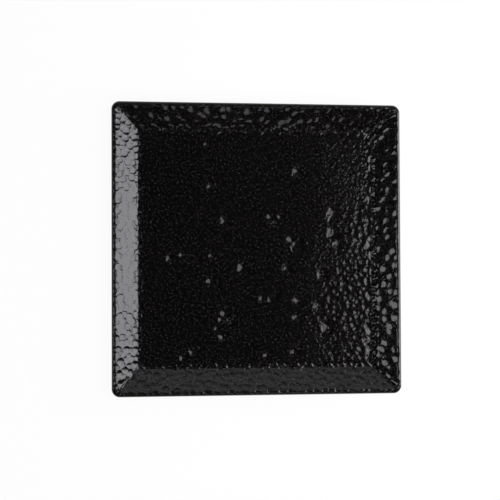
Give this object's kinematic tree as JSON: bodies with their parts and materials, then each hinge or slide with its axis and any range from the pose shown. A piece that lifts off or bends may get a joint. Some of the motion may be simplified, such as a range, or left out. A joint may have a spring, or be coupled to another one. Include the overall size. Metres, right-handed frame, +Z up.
{
  "type": "square dinner plate",
  "caption": "Square black glazed dinner plate with a wide sloping rim, a flat well, a hammered gloss face and a low square foot ring.",
  "frame": {"origin": "centre of the foot ring's standing face, at the table", "axes": "+Z up, out of the well; +X and +Y square to two sides of the plate, +X to the right and +Y to the top of the picture"},
  "size_m": [0.27, 0.27, 0.0225],
  "materials": {
    "fired_clay": "matt, slightly rough, bare only on the standing face of the foot ring",
    "textured_black_glaze": "high gloss with a fine hammered and pebbled relief",
    "plain_black_glaze": "gloss with a faint orange peel"
  },
  "bodies": {
    "root": {"clay_body": "fired_clay", "face_glaze": "textured_black_glaze", "back_glaze": "plain_black_glaze", "base_glaze": "plain_black_glaze"}
  },
  "joints": []
}
